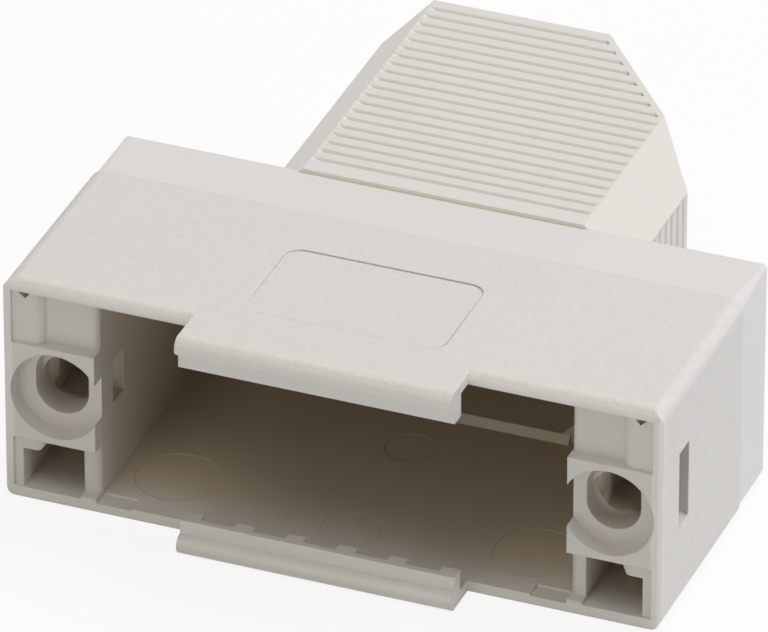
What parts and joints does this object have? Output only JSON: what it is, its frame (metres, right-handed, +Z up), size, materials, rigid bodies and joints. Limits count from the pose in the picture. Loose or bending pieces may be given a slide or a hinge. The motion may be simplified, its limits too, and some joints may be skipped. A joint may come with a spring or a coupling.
{
  "type": "d-sub hood",
  "caption": "Moulded cable hood for a D-subminiature connector, with lipped tongues, screw bosses and a ribbed neck with a slanted cable outlet.",
  "frame": {"origin": "midway between the two screw axes, on the front face where the connector's flange seats", "axes": "+X along the connector towards the side the cable outlet faces, +Y from the connector towards the cable, +Z up through the upper tongue"},
  "size_m": [0.0398, 0.0408, 0.0144],
  "materials": {
    "shell": "warm light grey moulded plastic, spark-textured in front of the parting line and smoother behind it"
  },
  "bodies": {
    "root": {"hood": "shell"}
  },
  "joints": []
}
